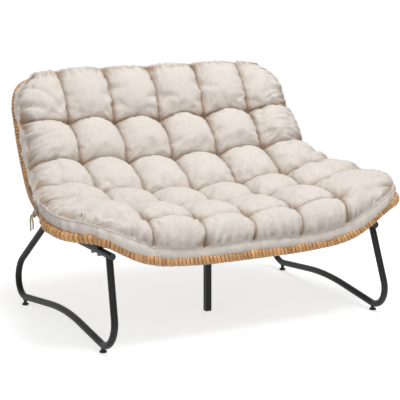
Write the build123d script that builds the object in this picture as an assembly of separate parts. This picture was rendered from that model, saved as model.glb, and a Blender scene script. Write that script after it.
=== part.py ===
# A two-seat garden loveseat. A steel rim loop in two halves, wound with rattan, carries bowed
# ribs and a woven back. Two bent-tube legs and a square centre leg stand on levelling glides,
# and one tufted cushion lies in the bowl and is tied to the rim.
# Millimetres, +Z up, -Y is the front. The origin is on the floor under the middle of the seat.
import os
from math import atan2, cos, degrees, radians, sin, tan

from build123d import *

os.makedirs("parts", exist_ok=True)

# Fits between pieces
seat_gap = 0.3
weld_gap = 0.2
bolt_clearance = 0.2
cut_overrun = 2.0

# Rim loop, measured on the centreline of its tube
rim_width = 1258.0
rim_depth = 802.0
rim_height = 758.0
frame_tube_radius = 12.5
frame_tube_wall = 1.5
wrap_thickness = 1.5
wrap_radius = frame_tube_radius + wrap_thickness
wrap_end_gap = 5.0
bend_reach_share = 0.47
path_stretch_share = 0.28
search_steps = 30

# Corners of the rim's right half, from the front edge round to the top edge, as shares of half
# the width, of the depth and of the height. Every corner is rounded off by a bend.
rim_corner_shares = (
    (0.309, -0.500, 0.343),
    (0.590, -0.500, 0.365),
    (0.811, -0.478, 0.471),
    (0.957, -0.395, 0.478),
    (1.000, -0.306, 0.500),
    (0.967, -0.218, 0.520),
    (0.857, 0.148, 0.549),
    (0.830, 0.304, 0.734),
    (0.811, 0.402, 0.906),
    (0.757, 0.448, 0.974),
    (0.579, 0.469, 1.000),
    (0.248, 0.500, 1.000),
)
seat_corner_count = 6
joint_run_share = 0.30

# Joints between the two halves of the rim: a sleeve inside the tubes, and two cross screws
spigot_length = 60.0
spigot_wall = 2.0
joint_screw_radius = 2.5
joint_screw_head_radius = 4.5
joint_screw_head_height = 3.0
joint_screw_offset = 17.0

# Bowed ribs: where each meets the rim as a share of that half's path. Seat ribs all dip to one
# height. Back ribs have their own bows, which lean back from straight down, in degrees.
rib_radius = 6.0
seat_rib_path_shares = (0.137, 0.083, 0.031)
seat_rib_middle_z = 308.0
back_rib_path_shares = (0.045, 0.092, 0.135, 0.205, 0.262)
back_rib_bows = (78.0, 62.0, 60.0, 50.0, 36.0)
back_rib_leans = (22.0, 30.0, 43.0, 54.0, 60.0)

# Flat spine under the seat ribs, which the centre leg is bolted to
spine_width = 30.0
spine_thickness = 6.0
spine_bend_radius = 40.0
spine_level_end = -50.0
spine_tail = 18.0

# Woven back: upright stakes on the ribs, and cross strands on the stakes
strand_thickness = 2.5
stake_width = 10.0
stake_count = 13
stake_span = 950.0
cross_strand_width = 12.0
cross_strand_counts = (4, 4, 6, 4, 1)
cross_strand_lift = 0.9
top_strand_reach = 440.0

# Side rails and bent-tube legs
leg_tube_radius = 11.0
leg_tube_wall = 1.5
side_rail_x = 475.0
side_rail_z = 300.0
side_rail_front = -376.0
side_rail_back = 184.0
front_leg_top_y = -354.0
rear_leg_top_y = 150.0
front_corner_x = 495.0
front_corner_y = -450.0
front_corner_z = 8.0
arch_corner_x = 496.0
arch_corner_y = -54.0
arch_corner_z = 64.0
rear_corner_x = 527.0
rear_corner_y = 474.0
rear_corner_z = 5.0
foot_bend_radius = 72.0
arch_bend_radius = 900.0
rail_plug_thickness = 2.5
rail_plug_depth = 10.0

# Bolted brackets between the side rails and the ribs
bracket_thickness = 4.0
bracket_length = 92.0
bracket_width = 30.0
bracket_top_length = 34.0
front_bracket_y = -258.0
rear_bracket_y = 12.0
bolt_spacing = 46.0
bolt_radius = 4.0
bolt_head_radius = 6.5
bolt_head_height = 5.0
nut_flat_radius = 6.5
nut_height = 6.5
bolt_tail = 2.0

# Square centre leg
centre_leg_y = -92.0
centre_leg_side = 20.0
centre_leg_wall = 1.5
centre_plate_length = 80.0
centre_plate_thickness = 4.0
centre_bolt_spacing = 56.0
centre_bolt_radius = 3.0
centre_bolt_head_radius = 5.0
centre_bolt_head_height = 4.0
centre_nut_height = 5.0
centre_plug_base = 6.0
centre_plug_depth = 16.0

# Levelling glides
glide_pad_radius = 11.5
glide_pad_height = 6.0
glide_pad_edge = 1.5
glide_neck_radius = 6.0
glide_stem_radius = 4.0
glide_stem_length = 15.0
glide_thread_gap = 0.1
insert_radius = 7.5
insert_height = 12.0

# Cushion: stitched rows run across it and stitched columns run along it, with crowned cells
# between. Each row is a flat section: the y and z of its top on the middle column, how far the
# section leans back from upright in degrees, and how far its inner and outer cells crown.
cushion_columns = (0.0, 181.0, 352.0)
cushion_rows = (
    (-400.0, 303.0, 0.0, 2.0, 2.0),
    (-397.0, 340.0, 0.0, 9.0, 9.0),
    (-369.0, 371.0, 0.0, 10.0, 14.0),
    (-315.0, 388.0, 0.0, 22.0, 38.0),
    (-250.0, 388.0, 0.0, 28.0, 52.0),
    (-139.0, 368.0, 0.0, 9.0, 22.0),
    (-62.0, 388.0, 6.0, 26.0, 24.0),
    (19.0, 392.0, 16.0, 9.0, 9.0),
    (84.0, 448.0, 30.0, 27.0, 20.0),
    (166.0, 482.0, 44.0, 9.0, 8.0),
    (204.0, 560.0, 50.0, 27.0, 20.0),
    (264.0, 618.0, 55.0, 9.0, 8.0),
    (300.0, 700.0, 60.0, 25.0, 20.0),
    (328.0, 742.0, 68.0, 14.0, 8.0),
    (351.0, 773.0, 82.0, 3.0, 3.0),
)
front_row_half_widths = (492.0, 508.0)
top_row_half_width = 385.0
rim_sink = 6.0
rib_ease = 1.0
weave_ease = 1.4
cushion_side_inset = 3.0
side_border_height = 27.0
side_overhang = 5.0

# Cushion ties, round the rim beside each joint
tie_width = 12.0
tie_thickness = 1.5
tie_offset = 36.0
knot_radius = 8.0
tail_radius = 2.5
tail_bend_share = 0.45
tail_routes = (
    ((9.0, -2.0, -2.0), (12.0, -7.0, -12.0), (10.0, -13.0, -28.0), (11.0, -11.0, -46.0)),
    ((9.0, 3.0, -3.0), (12.0, 8.0, -14.0), (11.0, 9.0, -34.0), (9.0, 14.0, -56.0)),
)


def mirrored(point):
    return Vector(-point.X, point.Y, point.Z)


def both_sides(solid):
    return [solid, mirror(solid, about=Plane.YZ)]


def bend_radius(before, corner, after, reach_share):
    """Radius of a bend that uses the given share of the shorter run beside its corner."""
    into, out = before - corner, after - corner
    reach = reach_share * min(into.length, out.length)
    return reach * tan(radians(into.get_angle(out)) / 2)


def bent_path(points, reach_share=bend_reach_share):
    triples = zip(points, points[1:], points[2:])
    return FilletPolyline(*points, radius=[bend_radius(*triple, reach_share) for triple in triples])


def round_tube(path, outer, inner=0.0):
    start = Plane(origin=path @ 0, z_dir=path % 0)
    section = start * Circle(outer)
    if inner:
        section -= start * Circle(inner)
    return sweep(section, path=path)


def upright(radius, bottom, height):
    """A cylinder that stands on the point bottom."""
    return Pos(bottom) * Cylinder(radius, height, align=(Align.CENTER, Align.CENTER, Align.MIN))


def block(length_x, length_y, length_z, bottom):
    return Pos(bottom) * Box(length_x, length_y, length_z, align=(Align.CENTER, Align.CENTER, Align.MIN))


def solids_of(shapes):
    """Every solid in a list of shapes, in one flat list."""
    return [solid for shape in shapes for solid in shape.solids()]


def write(node, *shapes):
    solids = solids_of(shapes)
    export_step(solids[0] if len(solids) == 1 else Compound(children=solids), f"parts/{node}.step")


# Rim tube halves: a flat U round the seat and a raised U round the back, butted at two joints
corners = [
    Vector(x_share * rim_width / 2, y_share * rim_depth, z_share * rim_height)
    for x_share, y_share, z_share in rim_corner_shares
]
seat_corners, back_corners = corners[:seat_corner_count], corners[seat_corner_count:]
joint_run = back_corners[0] - seat_corners[-1]
joint = seat_corners[-1] + joint_run * joint_run_share
to_back = joint_run.normalized()


def half_rim_path(half, start):
    """Path from a start point on the right, along one half of the rim, to its mirror point."""
    right = [start, *half]
    return bent_path(right + [mirrored(point) for point in reversed(right)])


seat_path = half_rim_path(seat_corners[::-1], joint)
back_path = half_rim_path(back_corners, joint)
frame_bore = frame_tube_radius - frame_tube_wall
seat_core = round_tube(seat_path, frame_tube_radius)
back_core = round_tube(back_path, frame_tube_radius)
seat_tube = round_tube(seat_path, frame_tube_radius, frame_bore)
back_tube = round_tube(back_path, frame_tube_radius, frame_bore)

# Rattan wound on the tubes, left short at the joints
wrap_bore = frame_tube_radius
seat_wrap_path = half_rim_path(seat_corners[::-1], joint - to_back * wrap_end_gap)
back_wrap_path = half_rim_path(back_corners, joint + to_back * wrap_end_gap)
seat_wrap = round_tube(seat_wrap_path, wrap_radius, wrap_bore)
back_wrap = round_tube(back_wrap_path, wrap_radius, wrap_bore)

# Sleeves inside the joints, and the screws that cross them
joint_plane = Plane(origin=joint, z_dir=to_back)
spigot_radius = frame_bore - bolt_clearance
spigot = joint_plane * (
    Cylinder(spigot_radius, spigot_length) - Cylinder(spigot_radius - spigot_wall, spigot_length)
)


def across_joint(radius, offset, start, end):
    """A cylinder square to the rim, through its centreline, on the side away from the seat."""
    line = joint_plane.x_dir
    outward = line if line.X > 0 else line * -1
    origin = joint + to_back * offset + outward * start
    return Plane(origin=origin, z_dir=outward) * Cylinder(
        radius, end - start, align=(Align.CENTER, Align.CENTER, Align.MIN)
    )


screw_bore = joint_screw_radius + bolt_clearance
screw_seat = frame_tube_radius
head_opening = joint_screw_head_radius + bolt_clearance
joint_screws = []
for offset in (-joint_screw_offset, joint_screw_offset):
    shank = across_joint(joint_screw_radius, offset, spigot_wall / 2 - spigot_radius, screw_seat)
    head = across_joint(
        joint_screw_head_radius, offset, screw_seat, screw_seat + joint_screw_head_height
    )
    joint_screws.append(shank + head)
    spigot -= across_joint(screw_bore, offset, -frame_tube_radius, frame_tube_radius)
    cuts = both_sides(across_joint(screw_bore, offset, 0, wrap_radius + cut_overrun))
    seat_tube -= cuts
    back_tube -= cuts
    wrap_bores = both_sides(across_joint(head_opening, offset, 0, wrap_radius + cut_overrun))
    seat_wrap -= wrap_bores
    back_wrap -= wrap_bores


# Ribs: each is one arc from rim to rim, welded to the rim's tube at both ends
def down_and_back(lean):
    """Unit vector along which a rib of this lean bows away from the sitter."""
    return Vector(0, sin(radians(lean)), -cos(radians(lean)))


def rib_row(path, path_share, bow, lean):
    """End point, centre point, bow and lean of one rib."""
    end = path @ path_share
    return end, Vector(0, end.Y, end.Z) + down_and_back(lean) * bow, bow, lean


def seat_rib_row(path_share):
    return rib_row(seat_path, path_share, (seat_path @ path_share).Z - seat_rib_middle_z, 0.0)


def rib_arc(row):
    end, centre = row[:2]
    return ThreePointArc(end, centre, mirrored(end))


seat_rows = [seat_rib_row(path_share) for path_share in seat_rib_path_shares]
back_rows = [
    rib_row(back_path, *values)
    for values in zip(back_rib_path_shares, back_rib_bows, back_rib_leans)
]


def welded_rib(row, path, path_share):
    """A rib cut square where its ends just clear the side of the rim tube."""
    arc = rib_arc(row)
    skew_sine = abs((arc % 0).dot(path % path_share))
    reach = frame_tube_radius + weld_gap + rib_radius * skew_sine
    setback = reach / (1 - skew_sine ** 2) ** 0.5 / arc.length
    trimmed = ThreePointArc(arc @ setback, arc @ 0.5, arc @ (1 - setback))
    return round_tube(trimmed, rib_radius)


seat_ribs = [welded_rib(row, seat_path, share) for row, share in zip(seat_rows, seat_rib_path_shares)]
back_ribs = [welded_rib(row, back_path, share) for row, share in zip(back_rows, back_rib_path_shares)]
seat_wrap -= [round_tube(rib_arc(row), rib_radius + seat_gap) for row in seat_rows]
back_wrap -= [round_tube(rib_arc(row), rib_radius + seat_gap) for row in back_rows]

# Spine: a flat bar under the ribs, from the front tube to just past the first back rib
spine_drop = rib_radius + spine_thickness / 2
under_ribs = [row[1] + down_and_back(row[3]) * spine_drop for row in seat_rows]
level_end = Vector(0, spine_level_end, under_ribs[-1].Z)
under_back_rib = back_rows[0][1] + down_and_back(back_rows[0][3]) * spine_drop
tail_direction = (under_back_rib - level_end).normalized()
front_middle = Vector(0, seat_corners[0].Y, seat_corners[0].Z)
spine_points = [
    front_middle, under_ribs[0], level_end, under_back_rib + tail_direction * spine_tail
]
spine_path = FilletPolyline(*spine_points, radius=spine_bend_radius)


def spine_bar(width, thickness):
    start = Plane(origin=spine_path @ 0, x_dir=(1, 0, 0), z_dir=spine_path % 0)
    return sweep(start * Rectangle(width, thickness), path=spine_path)


spine = spine_bar(spine_width, spine_thickness) - seat_core - seat_ribs - back_ribs[:1]
seat_wrap -= spine_bar(spine_width + 2 * seat_gap, spine_thickness + 2 * seat_gap)

# The bowl: lines across it, from the front of the rim, over the ribs, to the top of the rim.
# Each line gives its point at a place x, and how thick the pieces that lie on it are.
def bow_rise(row, x):
    """How far a rib's arc has risen at x above its middle."""
    half_width, bow = row[0].X, row[2]
    radius = (half_width ** 2 + bow ** 2) / (2 * bow)
    return radius - (radius ** 2 - x ** 2) ** 0.5


def rib_frame(row, x):
    """The point of a rib at x, and the direction square to it that faces the sitter."""
    half_width, bow = row[0].X, row[2]
    radius = (half_width ** 2 + bow ** 2) / (2 * bow)
    up = down_and_back(row[3]) * -1
    point = row[1] + Vector(x, 0, 0) + up * bow_rise(row, x)
    return point, (up * (radius - bow_rise(row, x)) - Vector(x, 0, 0)).normalized()


def rim_point(path, x):
    """Where the stretch of a rim half beside its middle reaches x."""
    near, far = 0.5, 0.5 * path_stretch_share
    for _ in range(search_steps):
        middle = (near + far) / 2
        if (path @ middle).X < x:
            near = middle
        else:
            far = middle
    return path @ near


strand_layers = strand_thickness + seat_gap + strand_thickness + cross_strand_lift
front_cover = wrap_radius - rim_sink
seat_cover = rib_radius + rib_ease
back_cover = rib_radius + strand_layers + weave_ease
back_edge_cover = wrap_radius + weave_ease
bowl_lines = [(lambda x: rim_point(seat_path, x), front_cover)]
bowl_lines += [(lambda x, row=row: rib_frame(row, x)[0], seat_cover) for row in seat_rows]
bowl_lines += [(lambda x, row=row: rib_frame(row, x)[0], back_cover) for row in back_rows]
bowl_lines += [(lambda x: rim_point(back_path, x), wrap_radius)]

# Woven back: stakes lie on the ribs, and cross strands lie on the stakes
stake_height = rib_radius + seat_gap + strand_thickness / 2
cross_height = stake_height + strand_thickness + cross_strand_lift
seat_winding_core = round_tube(seat_path, wrap_radius + seat_gap)
back_winding_core = round_tube(back_path, wrap_radius + seat_gap)
top_middle = Vector(0, back_corners[-1].Y, back_corners[-1].Z)
top_end = rim_point(back_path, top_strand_reach)
top_bow = top_middle - Vector(0, top_end.Y, top_end.Z)
top_row = (top_end, top_middle, top_bow.length, degrees(atan2(top_bow.Y, -top_bow.Z)))
weave_rows = [*back_rows, top_row]


def largest(shape):
    return max(shape.solids(), key=lambda solid: solid.volume)


def stake_sections(x):
    """Sections of the stake at x: one over each back rib, and one inside the top rim."""
    frames = [rib_frame(row, x) for row in weave_rows]
    points = [point + up * stake_height for point, up in frames]
    for index, (_, up) in enumerate(frames):
        first = max(index - 1, 0)
        along = points[first + 1] - points[first]
        across = along.cross(up)
        yield Plane(origin=points[index], x_dir=across, z_dir=up.cross(across)) * Rectangle(
            stake_width, strand_thickness
        )


def cross_strand(lower, upper, part):
    """A strand over the stakes, part of the way from one row of the weave to the next."""

    def point(x):
        (low, low_up), (high, high_up) = rib_frame(lower, x), rib_frame(upper, x)
        return (low + low_up * cross_height) * (1 - part) + (high + high_up * cross_height) * part

    reach = lower[0].X + (upper[0].X - lower[0].X) * part
    arc = ThreePointArc(point(reach), point(0), point(-reach))
    along_back = (upper[1] - lower[1]).normalized()
    start = Plane(origin=arc @ 0, x_dir=along_back, z_dir=arc % 0)
    strand = sweep(start * Rectangle(cross_strand_width, strand_thickness), path=arc)
    return largest(strand - back_winding_core)


stakes = []
for index in range(stake_count):
    stake_x = stake_span * (index / (stake_count - 1) - 0.5)
    stakes.append(largest(loft(list(stake_sections(stake_x)), ruled=True) - back_winding_core))

cross_strands = []
for count, lower, upper in zip(cross_strand_counts, weave_rows, weave_rows[1:]):
    for index in range(count):
        cross_strands.append(cross_strand(lower, upper, (index + 0.5) / count))

# Side rails and legs, right-hand side
leg_bore = leg_tube_radius - leg_tube_wall
rail_middle = Vector(side_rail_x, (side_rail_front + side_rail_back) / 2, side_rail_z)
rail_length = side_rail_back - side_rail_front
rail_axis = Plane(origin=rail_middle, z_dir=(0, 1, 0))
rail_core = rail_axis * Cylinder(leg_tube_radius, rail_length)
side_rail = rail_core - rail_axis * Cylinder(leg_bore, rail_length)
plug_cap = Cylinder(
    leg_tube_radius, rail_plug_thickness, align=(Align.CENTER, Align.CENTER, Align.MIN)
) + Cylinder(leg_bore, rail_plug_depth, align=(Align.CENTER, Align.CENTER, Align.MAX))
front_end = Vector(side_rail_x, side_rail_front, side_rail_z)
back_end = Vector(side_rail_x, side_rail_back, side_rail_z)
rail_plugs = [
    Plane(origin=front_end, z_dir=(0, -1, 0)) * plug_cap,
    Plane(origin=back_end, z_dir=(0, 1, 0)) * plug_cap,
]

front_corner = Vector(front_corner_x, front_corner_y, front_corner_z)
rear_corner = Vector(rear_corner_x, rear_corner_y, rear_corner_z)
leg_points = [
    Vector(side_rail_x, front_leg_top_y, side_rail_z),
    front_corner,
    Vector(arch_corner_x, arch_corner_y, arch_corner_z),
    rear_corner,
    Vector(side_rail_x, rear_leg_top_y, side_rail_z),
]
leg_path = FilletPolyline(
    *leg_points, radius=[foot_bend_radius, arch_bend_radius, foot_bend_radius]
)
leg = round_tube(leg_path, leg_tube_radius, leg_bore) - rail_core


def bend_bottom(before, corner, after):
    """Lowest point on the centreline of a foot bend."""
    into, out = (before - corner).normalized(), (after - corner).normalized()
    half_angle = radians(into.get_angle(out)) / 2
    centre = corner + (into + out).normalized() * (foot_bend_radius / sin(half_angle))
    normal = into.cross(out).normalized()
    down = (Vector(0, 0, -1) + normal * normal.Z).normalized()
    return centre + down * foot_bend_radius


foot_points = {
    "front": bend_bottom(*leg_points[:3]),
    "rear": bend_bottom(*leg_points[2:]),
}

# Glides and the threaded inserts that they screw into, one at each foot bend
glides, inserts = {}, []
for place, foot in foot_points.items():
    tube_bottom = foot.Z - leg_tube_radius
    ground = Vector(foot.X, foot.Y, 0)
    seat = Vector(foot.X, foot.Y, tube_bottom)
    hole = upright(insert_radius, seat - Vector(0, 0, cut_overrun), insert_height + cut_overrun)
    leg -= hole
    insert = upright(insert_radius, seat, insert_height)
    thread = upright(glide_stem_radius + glide_thread_gap, seat, insert_height)
    inserts.append(insert - thread)
    pad = upright(glide_pad_radius, ground, glide_pad_height)
    pad = fillet(pad.edges().filter_by(GeomType.CIRCLE), glide_pad_edge)
    neck = upright(glide_neck_radius, ground + Vector(0, 0, glide_pad_height), tube_bottom - glide_pad_height)
    stem = upright(glide_stem_radius, seat, glide_stem_length)
    glides[place] = pad + neck + stem

# Brackets: a foot plate bolted down on the rail, and a gusset up to the rib above it
rail_top = side_rail_z + leg_tube_radius
brackets, bolts, nuts = {}, [], []
for place, bracket_y, row in (
    ("front", front_bracket_y, seat_rows[1]),
    ("rear", rear_bracket_y, back_rows[0]),
):
    end, centre, bow, lean = row
    under = centre - down_and_back(lean) * bow * (side_rail_x / end.X) ** 2
    plate = block(bracket_width, bracket_length, bracket_thickness, Vector(side_rail_x, bracket_y, rail_top))
    plate_top = rail_top + bracket_thickness
    gusset_outline = Polyline(
        (bracket_y - bracket_length / 2, plate_top),
        (bracket_y + bracket_length / 2, plate_top),
        (under.Y + bracket_top_length / 2, under.Z),
        (under.Y - bracket_top_length / 2, under.Z),
        close=True,
    )
    gusset_plane = Plane(
        origin=(side_rail_x - bracket_thickness / 2, 0, 0), x_dir=(0, 1, 0), z_dir=(1, 0, 0)
    )
    gusset = extrude(gusset_plane * make_face(gusset_outline), bracket_thickness)
    rib_tool = round_tube(rib_arc(row), rib_radius)
    bracket = plate + (gusset - rib_tool)
    for bolt_y in (bracket_y - bolt_spacing / 2, bracket_y + bolt_spacing / 2):
        bolt_x = side_rail_x
        head_bottom = Vector(bolt_x, bolt_y, side_rail_z - leg_tube_radius - bolt_head_height)
        head_top = head_bottom + Vector(0, 0, bolt_head_height)
        nut_bottom = Vector(bolt_x, bolt_y, plate_top)
        shank_length = nut_bottom.Z + nut_height + bolt_tail - head_top.Z
        bolts.append(
            upright(bolt_head_radius, head_bottom, bolt_head_height)
            + upright(bolt_radius, head_top, shank_length)
        )
        bore = upright(bolt_radius + bolt_clearance, head_top, shank_length)
        gusset_relief = upright(bolt_head_radius + 2 * bolt_clearance + bolt_tail, nut_bottom, nut_height + 2 * bolt_tail)
        side_rail -= bore
        bracket = bracket - bore - gusset_relief
        nut = Pos(nut_bottom) * extrude(RegularPolygon(nut_flat_radius, 6, major_radius=False), nut_height)
        nuts.append(nut - bore)
    brackets[place] = bracket

# Square centre leg: a tube under a plate, bolted up to the spine, with a plug in its foot
spine_bottom = level_end.Z - spine_thickness / 2
plate_bottom = Vector(0, centre_leg_y, spine_bottom - centre_plate_thickness)
leg_bottom = Vector(0, centre_leg_y, centre_plug_base)
centre_inner = centre_leg_side - 2 * centre_leg_wall
centre_height = plate_bottom.Z - centre_plug_base
centre_tube = block(centre_leg_side, centre_leg_side, centre_height, leg_bottom) - block(
    centre_inner, centre_inner, centre_height, leg_bottom
)
centre_plate = block(spine_width, centre_plate_length, centre_plate_thickness, plate_bottom)
centre_plug = block(
    centre_leg_side, centre_leg_side, centre_plug_base, Vector(0, centre_leg_y, 0)
) + block(centre_inner, centre_inner, centre_plug_depth, leg_bottom)
centre_bolts, centre_nuts = [], []
for bolt_y in (centre_leg_y - centre_bolt_spacing / 2, centre_leg_y + centre_bolt_spacing / 2):
    head_top = Vector(0, bolt_y, plate_bottom.Z)
    nut_bottom = Vector(0, bolt_y, spine_bottom + spine_thickness)
    shank_length = nut_bottom.Z + centre_nut_height - head_top.Z
    head = upright(
        centre_bolt_head_radius, head_top - Vector(0, 0, centre_bolt_head_height), centre_bolt_head_height
    )
    centre_bolts.append(head + upright(centre_bolt_radius, head_top, shank_length))
    bore = upright(centre_bolt_radius + bolt_clearance, head_top, shank_length)
    centre_plate -= bore
    spine -= bore
    nut_outline = RegularPolygon(centre_bolt_head_radius, 6, major_radius=False)
    centre_nuts.append(Pos(nut_bottom) * extrude(nut_outline, centre_nut_height) - bore)
centre_leg = centre_tube + centre_plate

# Cushion: a loft through its rows, with the rim's channel cut along its edge
def rim_crossing(plane):
    """Where the right half of the rim passes through a row's plane."""
    for path in (seat_path, back_path):
        near, far = (0.5, 0.0) if path is seat_path else (0.0, 0.5)
        side = plane.to_local_coords(path @ near).Z
        if side * plane.to_local_coords(path @ far).Z > 0:
            continue
        for _ in range(search_steps):
            middle = (near + far) / 2
            if plane.to_local_coords(path @ middle).Z * side > 0:
                near = middle
            else:
                far = middle
        return path @ near


def underside(plane, x):
    """Height in a row's plane at which the cushion rests on the bowl at x."""
    lines = [(plane.to_local_coords(point_at(x)), cover) for point_at, cover in bowl_lines]
    for (low, low_cover), (high, high_cover) in zip(lines, lines[1:]):
        if low.Z < 0:
            break
        if high.Z < 0:
            part = low.Z / (low.Z - high.Z)
            cover = low_cover + (high_cover - low_cover) * part
            return low.Y + (high.Y - low.Y) * part + cover + seat_gap
    nearest, cover = lines[0] if lines[0][0].Z < 0 else lines[-1]
    return nearest.Y + cover + seat_gap


def cushion_section(index):
    y, z, lean, inner_rise, outer_rise = cushion_rows[index]
    plane = Plane(origin=(0, y, z), x_dir=(1, 0, 0), z_dir=down_and_back(lean + 90) * -1)
    if index < len(front_row_half_widths):
        half_width = front_row_half_widths[index]
        edge_height = underside(plane, half_width)
    elif index == len(cushion_rows) - 1:
        half_width = top_row_half_width
        edge_height = underside(plane, half_width)
    else:
        rim = plane.to_local_coords(rim_crossing(plane))
        half_width = rim.X - cushion_side_inset
        edge_height = rim.Y + seat_gap + (front_cover if y < joint.Y else back_edge_cover)
    bottoms = [(x, underside(plane, x)) for x in cushion_columns] + [(half_width, edge_height)]
    tops = [(x, height - bottoms[0][1]) for x, height in bottoms[:-1]]
    tops.append((half_width + side_overhang, edge_height + side_border_height))
    rises = [inner_rise] * (len(tops) - 2) + [outer_rise]
    edges = [Line(start, end) for start, end in zip(bottoms, bottoms[1:])]
    edges.append(Line(bottoms[-1], tops[-1]))
    for (x1, h1), (x2, h2), rise in reversed(list(zip(tops, tops[1:], rises))):
        peak = ((x1 + x2) / 2, (h1 + h2) / 2 + rise)
        edges.append(ThreePointArc((x2, h2), peak, (x1, h1)))
    outline = edges + [mirror(edge, about=Plane.YZ) for edge in edges]
    return plane * make_face(outline)


cushion = loft([cushion_section(index) for index in range(len(cushion_rows))], ruled=True)
cushion = largest(cushion - seat_winding_core - back_winding_core)

# Ties: a band round the rim with a knot outside it, and two free tails from the knot
band_plane = Plane(origin=joint - to_back * tie_offset, z_dir=to_back)
band_bore = wrap_radius + seat_gap
band_radius = band_bore + tie_thickness
band = band_plane * (Cylinder(band_radius, tie_width) - Cylinder(band_bore, tie_width))
knot_centre = band_plane.origin + Vector(1, 0, 0) * (band_bore + knot_radius)
knot = Pos(knot_centre) * Sphere(knot_radius)
rim_clearance = band_plane * Cylinder(band_bore, 4 * knot_radius)
tie = band + (knot - rim_clearance)
band_clearance = band_plane * Cylinder(band_radius + seat_gap, tie_width + 2 * seat_gap)
cushion = largest(cushion - both_sides(band_clearance))


tails = []
for route in tail_routes:
    points = [knot_centre + Vector(*step) for step in route]
    print("tail bends", [round(bend_radius(*three, tail_bend_share), 1) for three in zip(points, points[1:], points[2:])])
    path = bent_path(points, tail_bend_share)
    print("tail length", round(path.length, 1))
    tails.append(round_tube(path, tail_radius) - knot)

# One file for each piece or group of like pieces
write("seat_frame_tube", seat_tube)
write("back_frame_tube", back_tube)
write("seat_rim_wrap", seat_wrap)
write("back_rim_wrap", back_wrap)
write("joint_spigots", *both_sides(spigot))
write("joint_screws", *[side for screw in joint_screws for side in both_sides(screw)])
write("seat_ribs", *seat_ribs)
for number, rib in enumerate(back_ribs, 1):
    write(f"back_rib_{number}", rib)
write("seat_spine", spine)
write("back_stakes", *stakes)
write("back_cross_strands", *cross_strands)
write("side_rail_right", side_rail)
write("side_rail_left", mirror(side_rail, about=Plane.YZ))
write("leg_loop_right", leg)
write("leg_loop_left", mirror(leg, about=Plane.YZ))
write("rail_plugs", *[side for plug in rail_plugs for side in both_sides(plug)])
for place, bracket in brackets.items():
    write(f"{place}_brackets", *both_sides(bracket))
write("bracket_bolts", *[side for bolt in bolts for side in both_sides(bolt)])
write("bracket_nuts", *[side for nut in nuts for side in both_sides(nut)])
write("glide_inserts", *[side for insert in inserts for side in both_sides(insert)])
for place, glide in glides.items():
    write(f"glide_{place}_right", glide)
    write(f"glide_{place}_left", mirror(glide, about=Plane.YZ))
write("centre_leg", centre_leg)
write("centre_leg_plug", centre_plug)
write("centre_leg_bolts", *centre_bolts)
write("centre_leg_nuts", *centre_nuts)
write("cushion", cushion)
write("tie_right", tie)
write("tie_left", mirror(tie, about=Plane.YZ))
for number, piece in enumerate(tails, 1):
    right, left = both_sides(piece)
    write(f"tie_tail_right_{number}", right)
    write(f"tie_tail_left_{number}", left)
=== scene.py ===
import math

import bpy
import numpy as np
from mathutils import Matrix, Vector, noise
from mathutils.bvhtree import BVHTree


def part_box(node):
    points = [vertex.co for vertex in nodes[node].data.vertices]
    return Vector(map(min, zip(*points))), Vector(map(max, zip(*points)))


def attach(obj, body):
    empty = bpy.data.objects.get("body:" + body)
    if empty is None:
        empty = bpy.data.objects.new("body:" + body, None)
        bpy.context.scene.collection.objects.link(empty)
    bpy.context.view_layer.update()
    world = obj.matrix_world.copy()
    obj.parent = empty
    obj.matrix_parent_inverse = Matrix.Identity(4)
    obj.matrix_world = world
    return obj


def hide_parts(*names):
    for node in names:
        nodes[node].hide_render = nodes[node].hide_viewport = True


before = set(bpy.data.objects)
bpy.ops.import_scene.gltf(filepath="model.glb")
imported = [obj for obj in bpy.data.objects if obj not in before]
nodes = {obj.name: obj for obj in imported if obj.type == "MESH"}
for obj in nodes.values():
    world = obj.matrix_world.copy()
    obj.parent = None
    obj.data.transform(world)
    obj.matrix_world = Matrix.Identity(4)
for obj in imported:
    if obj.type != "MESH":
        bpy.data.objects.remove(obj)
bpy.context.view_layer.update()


# Steel frame.
# Black powder-coated tube and bar. The rim is bent in two halves that meet over inner sleeves, with bowed
# ribs welded across. Two bent legs carry it by side rails and brackets, and a square leg stands between them.
class Wire:
    """One value in a node tree. Arithmetic on it adds the Math nodes that work it out."""

    def __init__(self, tree, socket=None):
        self.tree = tree
        self.socket = socket

    def node(self, kind, settings=None, sockets=None, output=0):
        """Add a node, make its settings, give its sockets their values or links, and return one output."""
        added = self.tree.nodes.new(kind)
        for key, value in (settings or {}).items():
            setattr(added, key, value)
        for key, value in (sockets or {}).items():
            if isinstance(value, Wire):
                self.tree.links.new(value.socket, added.inputs[key])
            else:
                added.inputs[key].default_value = value
        return Wire(self.tree, added.outputs[output])

    def maths(self, operation, other):
        return self.node("ShaderNodeMath", {"operation": operation}, {0: self, 1: other})

    def __add__(self, other):
        return self.maths("ADD", other)

    def __mul__(self, other):
        return self.maths("MULTIPLY", other)

    __radd__ = __add__
    __rmul__ = __mul__

    def eased(self, low, high, to_low=0.0, to_high=1.0):
        """The value's way from low to high, eased at both ends and carried onto another range."""
        ends = {"From Min": low, "From Max": high, "To Min": to_low, "To Max": to_high}
        return self.node("ShaderNodeMapRange", {"interpolation_type": "SMOOTHSTEP"}, {"Value": self, **ends})


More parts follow.
